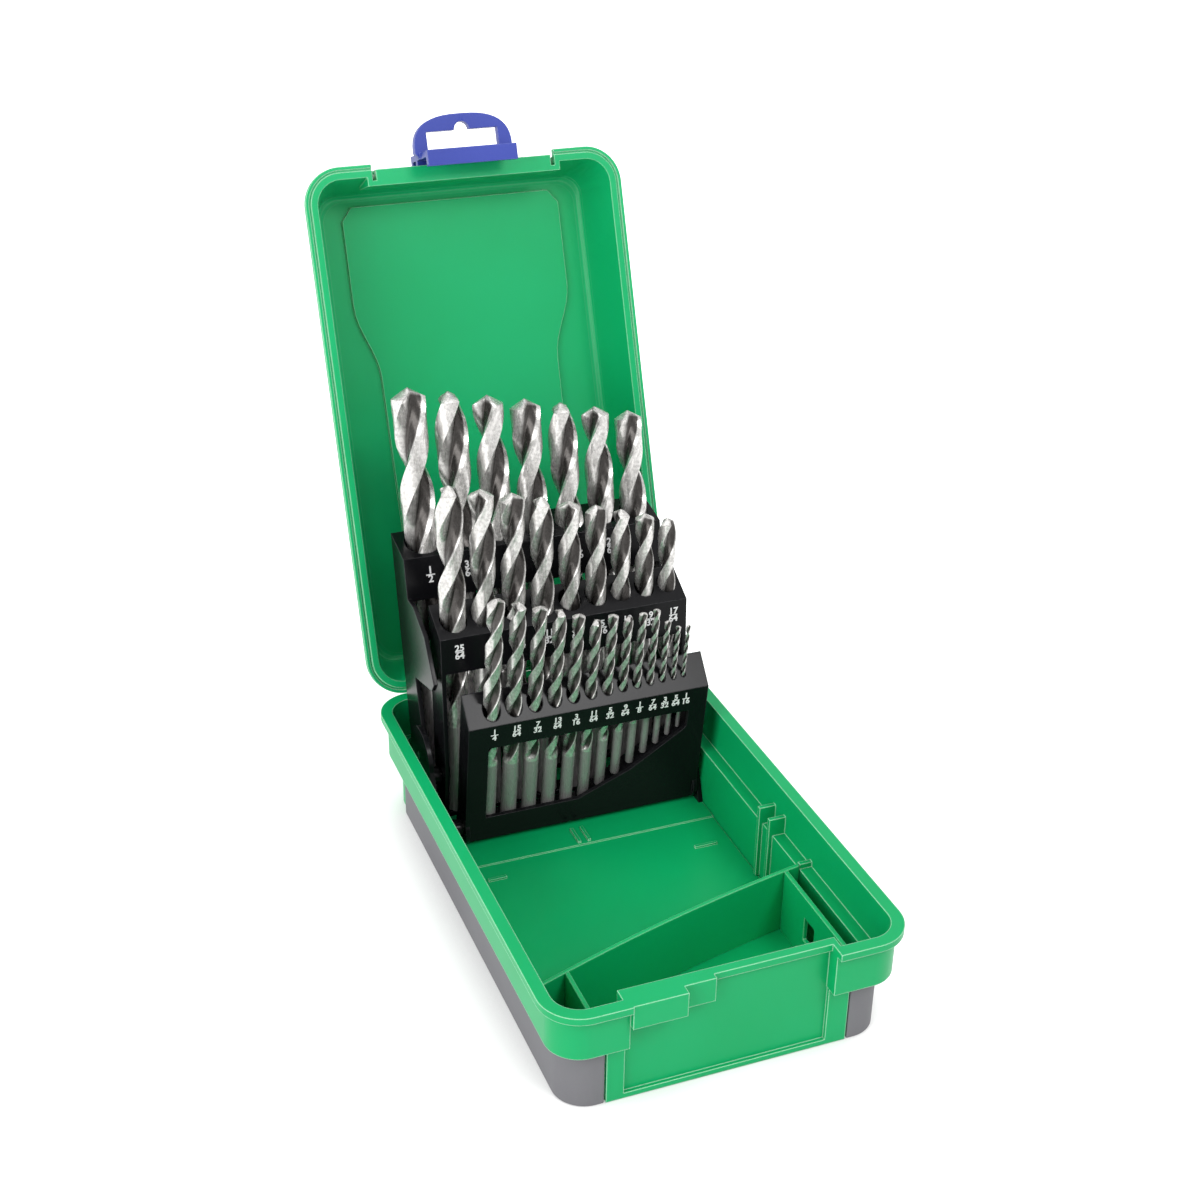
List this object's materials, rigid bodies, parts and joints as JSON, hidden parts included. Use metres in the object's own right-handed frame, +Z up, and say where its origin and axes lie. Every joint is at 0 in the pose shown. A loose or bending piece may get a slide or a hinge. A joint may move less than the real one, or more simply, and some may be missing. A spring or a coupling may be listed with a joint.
{
  "type": "drill bit case",
  "caption": "Hinged two-shell drill case, open: a sliding clasp on the lid, divided tray, and folding racks that stand the twist drills upright.",
  "frame": {"origin": "middle of the underside of the base, on the surface it stands on", "axes": "+X across the case, +Y to the hinge, +Z up"},
  "size_m": [0.125, 0.291, 0.2431],
  "materials": {
    "green_shell": "moulded polypropylene, satin",
    "green_lid": "moulded polypropylene, satin",
    "green_tray": "moulded polypropylene, satin",
    "grey_skirt": "soft grip plastic, fine grain",
    "black_rack": "moulded, glossy",
    "pin_steel": "turned",
    "blue_clasp": "moulded, satin",
    "drill_steel": "ground and polished"
  },
  "bodies": {
    "base": {"base_shell": "green_shell", "compartment_tray": "green_tray", "cross_divider": "green_tray", "divider_left": "green_tray", "divider_right": "green_tray", "tray_ribs": "green_tray", "skirt_left": "grey_skirt", "skirt_right": "grey_skirt", "bracket_left": "black_rack", "bracket_right": "black_rack", "pivot_pins_back": "pin_steel", "pivot_pins_middle": "pin_steel", "pivot_pins_front": "pin_steel", "hinge_pins": "pin_steel"},
    "lid": {"lid_shell": "green_lid"},
    "latch": {"latch_clasp": "blue_clasp"},
    "back_tier": {"back_rack": "black_rack", "drill_back_1": "drill_steel", "drill_back_2": "drill_steel", "drill_back_3": "drill_steel", "drill_back_4": "drill_steel", "drill_back_5": "drill_steel", "drill_back_6": "drill_steel", "drill_back_7": "drill_steel"},
    "middle_tier": {"middle_rack": "black_rack", "drill_middle_1": "drill_steel", "drill_middle_2": "drill_steel", "drill_middle_3": "drill_steel", "drill_middle_4": "drill_steel", "drill_middle_5": "drill_steel", "drill_middle_6": "drill_steel", "drill_middle_7": "drill_steel", "drill_middle_8": "drill_steel", "drill_middle_9": "drill_steel"},
    "front_tier": {"front_rack": "black_rack", "drill_front_1": "drill_steel", "drill_front_2": "drill_steel", "drill_front_3": "drill_steel", "drill_front_4": "drill_steel", "drill_front_5": "drill_steel", "drill_front_6": "drill_steel", "drill_front_7": "drill_steel", "drill_front_8": "drill_steel", "drill_front_9": "drill_steel", "drill_front_10": "drill_steel", "drill_front_11": "drill_steel", "drill_front_12": "drill_steel", "drill_front_13": "drill_steel"}
  },
  "joints": [
    {"name": "lid_hinge", "type": "hinge", "parent": "base", "child": "lid", "pos_m": [0, 0.0995, 0.0413], "axis": [1, 0, 0], "range_deg": [0, 110.5]},
    {"name": "latch_slide", "type": "slide", "parent": "lid", "child": "latch", "axis": [1, 0, 0], "range_m": [-0.016, 0.016]},
    {"name": "back_fold", "type": "hinge", "parent": "base", "child": "back_tier", "pos_m": [0, 0.0703, 0.0315], "axis": [1, 0, 0], "range_deg": [0, 103.4]},
    {"name": "middle_fold", "type": "hinge", "parent": "base", "child": "middle_tier", "pos_m": [0, 0.0637, 0.0257], "axis": [1, 0, 0], "range_deg": [0, 92.7]},
    {"name": "front_fold", "type": "hinge", "parent": "base", "child": "front_tier", "pos_m": [0, 0.0512, 0.009], "axis": [1, 0, 0], "range_deg": [0, 82]}
  ],
  "couplings": [
    {"joint": "back_fold", "follows": "lid_hinge", "ratio": 0.9357},
    {"joint": "middle_fold", "follows": "lid_hinge", "ratio": 0.8389},
    {"joint": "front_fold", "follows": "lid_hinge", "ratio": 0.742}
  ]
}
